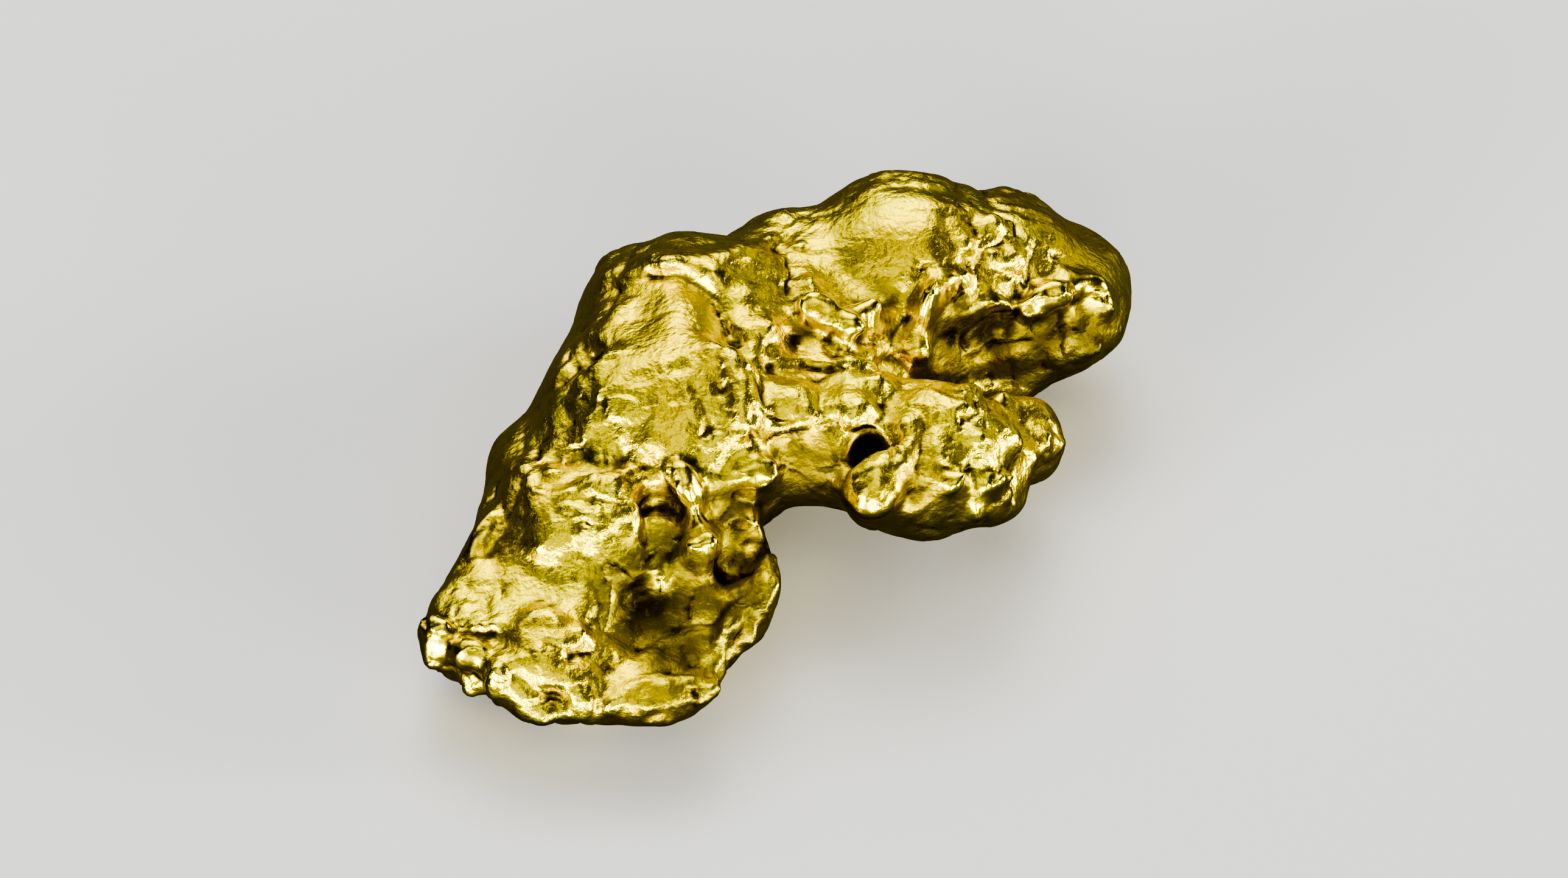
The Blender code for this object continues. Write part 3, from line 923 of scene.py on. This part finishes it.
def gold_material(settings):
    """Native gold: metal whose colour, roughness and fine grain follow the skin's heights, its patches of
    staining and painted shade and its rubbed tops, broken up by noise. Its colour has painted shade in the
    creases and deep hollows, and a paler painted highlight on the worn high points."""
    material = bpy.data.materials.new("native gold")
    material.use_nodes = True
    tree = material.node_tree
    shader = tree.nodes["Principled BSDF"]
    shader.inputs["Metallic"].default_value = 1.0
    where = node_at(tree, "ShaderNodeTexCoord", -9, 0).outputs["Object"]
    near = attribute_of(tree, "near_height", -9, 2)
    broad = attribute_of(tree, "broad_height", -9, 4)
    polish = attribute_of(tree, "polish", -9, 6)
    dirt_and_shade = attribute_of(tree, "dirt_and_shade", -9, 8)

    # Painted highlight over burnished wear: 1 on the high points, which are painted paler.
    worn = mask_of(tree, near, WORN_AND_HIGHLIT, -7, 2)
    # Painted shade: 1 in the deep hollows, which are painted dark.
    deep = mask_of(tree, broad, DEEP, -7, 4)
    # Painted shade: 1 in the fine creases, which are painted dark.
    crease = mask_of(tree, near, SHADED_CREASES, -7, 6)
    patch = mask_of(tree, noise_of(tree, where, PATCH_NOISE, -8, 0), PATCHY, -7, 0)
    speck = noise_of(tree, where, SPECK_NOISE, -8, -2)
    # Painted shade: the deep hollows are painted dark, broken up by specks.
    stain_and_shade = math_of(tree, "MULTIPLY", (deep, mask_of(tree, speck, SPECKED, -7, -2)), -5, 3)
    # The patches of staining and painted shade, broken up by noise and kept off the rubbed tops.
    smear = mask_of(tree, noise_of(tree, where, SMEAR_NOISE, -8, 8), SMEARED, -7, 8)
    smear = math_of(tree, "MULTIPLY", (dirt_and_shade, smear), -5, 8)
    smear = math_of(tree, "MULTIPLY", (smear, math_of(tree, "SUBTRACT", (1.0, polish), -6, 9)), -4, 9)
    stain_and_shade = math_of(tree, "MAXIMUM", (stain_and_shade, smear), -3, 3)

    colour = blend_of(tree, patch, (*settings.gold, 1), (*settings.green_gold, 1), -4, 0)
    # Painted highlight, on top of burnished wear: the worn high points are painted paler.
    colour = blend_of(tree, worn, colour, (*settings.burnish_and_highlight_gold, 1), -3, 0)
    # Painted shade: the fine creases are painted dark.
    colour = blend_of(tree, crease, colour, (*settings.crease_shade, 1), -2, 0)
    # Painted shade and staining: the deep hollows and the patches go near black.
    colour = blend_of(tree, stain_and_shade, colour, (*settings.stain_and_shade, 1), -1, 0)
    tree.links.new(colour, shader.inputs["Base Color"])

    rough = math_of(tree, "MULTIPLY_ADD", (speck, SPECK_ROUGH, settings.roughness - SPECK_ROUGH / 2), -4, 5)
    rough = math_of(tree, "MULTIPLY_ADD", (stain_and_shade, STAIN_AND_SHADE_ROUGH, rough), -3, 5)
    rough = math_of(tree, "MULTIPLY_ADD", (worn, -BURNISH, rough), -2, 5)
    rough = math_of(tree, "MULTIPLY_ADD", (polish, -BURNISH, rough), -1, 5)
    tree.links.new(rough, shader.inputs["Roughness"])

    bump = node_at(tree, "ShaderNodeBump", -1, 3, Distance=GRAIN_DEPTH)
    calm = math_of(tree, "MULTIPLY_ADD", (polish, -POLISH_CALM, 1.0), -2, 9)
    tree.links.new(calm, bump.inputs["Strength"])
    tree.links.new(noise_of(tree, where, GRAIN_NOISE, -6, -3), bump.inputs["Height"])
    tree.links.new(bump.outputs["Normal"], shader.inputs["Normal"])
    return material


def pale_material(colour, mirrored):
    """A pale matt floor, which shows darker in the gold."""
    material = bpy.data.materials.new("pale floor")
    material.use_nodes = True
    tree = material.node_tree
    shader = tree.nodes["Principled BSDF"]
    seen = node_at(tree, "ShaderNodeLightPath", -4, 0).outputs["Is Glossy Ray"]
    tree.links.new(blend_of(tree, seen, (*colour, 1), (*mirrored, 1), -2, 0), shader.inputs["Base Color"])
    shader.inputs["Roughness"].default_value = FLOOR_ROUGHNESS
    return material


def aimed(obj, place, target):
    obj.location = place
    obj.rotation_euler = (Vector(target) - Vector(place)).to_track_quat("-Z", "Y").to_euler()
    bpy.context.scene.collection.objects.link(obj)
    return obj


def way_to(turn, rise):
    """The direction so many degrees round from the front and so many up."""
    turn, rise = math.radians(turn), math.radians(rise)
    return -math.sin(turn) * math.cos(rise), -math.cos(turn) * math.cos(rise), math.sin(rise)


def soft_room(settings):
    """A dark room with soft glows: each is its strength times the cosine between its middle and where one
    looks, never under 0, to a power that narrows it."""
    world = bpy.data.worlds.new("soft room")
    world.use_nodes = True
    tree = world.node_tree
    look = node_at(tree, "ShaderNodeTexCoord", -8, 0).outputs["Generated"]
    total = settings.surround
    for row, glow in enumerate(GLOWS):
        dot = node_at(tree, "ShaderNodeVectorMath", -6, row, operation="DOT_PRODUCT")
        feed(tree, dot.inputs, (look, way_to(glow.turn, glow.rise)))
        near = math_of(tree, "MAXIMUM", (dot.outputs["Value"], 0.0), -5, row)
        narrowed = math_of(tree, "POWER", (near, glow.narrowing), -4, row)
        total = math_of(tree, "MULTIPLY_ADD", (narrowed, glow.strength, total), -3, row)
    tree.links.new(total, tree.nodes["Background"].inputs["Color"])
    return world


class NUGGET_OT_skin(bpy.types.Operator):
    """Builds the nugget's skin over its solid and gives it its gold"""

    bl_idname = "nugget.skin"
    bl_label = "Build Skin"

    def execute(self, context):
        skin = build_skin(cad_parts["nugget"], context.scene.nugget_skin)
        skin.data.materials.append(gold_material(context.scene.nugget_gold))
        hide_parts("nugget")
        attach(skin, "root")
        return {"FINISHED"}


class NUGGET_OT_stage(bpy.types.Operator):
    """Sets out the pale floor, the room's soft glows and the camera"""

    bl_idname = "nugget.stage"
    bl_label = "Build Stage"

    def execute(self, context):
        settings = context.scene.nugget_stage
        scene = context.scene
        low, high = CAD_BOX
        centre = (low + high) / 2
        corners = np.array([(-1, -1, 0), (1, -1, 0), (1, 1, 0), (-1, 1, 0)]) * FLOOR_REACH
        floor = mesh_object("floor", corners, np.array([(0, 1, 2), (0, 2, 3)]))
        floor.data.materials.append(pale_material(settings.floor, settings.mirrored_floor))
        scene.world = soft_room(settings)
        camera = bpy.data.cameras.new("camera")
        camera.lens = settings.lens
        camera.clip_start, camera.clip_end = CLIP
        tall = (high.y - low.y) * math.sin(SIGHT_RISE) + (high.z - low.z) * math.cos(SIGHT_RISE)
        half_height = math.atan(camera.sensor_width / 2 / camera.lens * PICTURE_HEIGHT / PICTURE_WIDTH)
        distance = tall / settings.fill / 2 / math.tan(half_height)
        toward = Vector(face_plane()[2])
        scene.camera = aimed(bpy.data.objects.new("camera", camera), centre + toward * distance, centre)
        scene.view_settings.view_transform = "AgX"
        scene.view_settings.look = "AgX - Very High Contrast"
        return {"FINISHED"}


class NUGGET_PT_panel(bpy.types.Panel):
    """The nugget's settings and the steps that build it"""

    bl_label = "Gold Nugget"
    bl_space_type = "VIEW_3D"
    bl_region_type = "UI"
    bl_category = "Nugget"

    def draw(self, context):
        for operator, group in (
            (NUGGET_OT_skin, context.scene.nugget_skin),
            (None, context.scene.nugget_gold),
            (NUGGET_OT_stage, context.scene.nugget_stage),
        ):
            box = self.layout.box()
            for name in type(group).__annotations__:
                box.prop(group, name)
            if operator:
                box.operator(operator.bl_idname)


CLASSES = (
    NuggetSkinSettings,
    GoldSettings,
    StageSettings,
    NUGGET_OT_skin,
    NUGGET_OT_stage,
    NUGGET_PT_panel,
)


def register():
    for cls in CLASSES:
        bpy.utils.register_class(cls)
    bpy.types.Scene.nugget_skin = bpy.props.PointerProperty(type=NuggetSkinSettings)
    bpy.types.Scene.nugget_gold = bpy.props.PointerProperty(type=GoldSettings)
    bpy.types.Scene.nugget_stage = bpy.props.PointerProperty(type=StageSettings)


def unregister():
    del bpy.types.Scene.nugget_stage
    del bpy.types.Scene.nugget_gold
    del bpy.types.Scene.nugget_skin
    for cls in reversed(CLASSES):
        bpy.utils.unregister_class(cls)


def main():
    register()
    bpy.ops.nugget.skin()
    bpy.ops.nugget.stage()


if __name__ == "__main__":
    main()
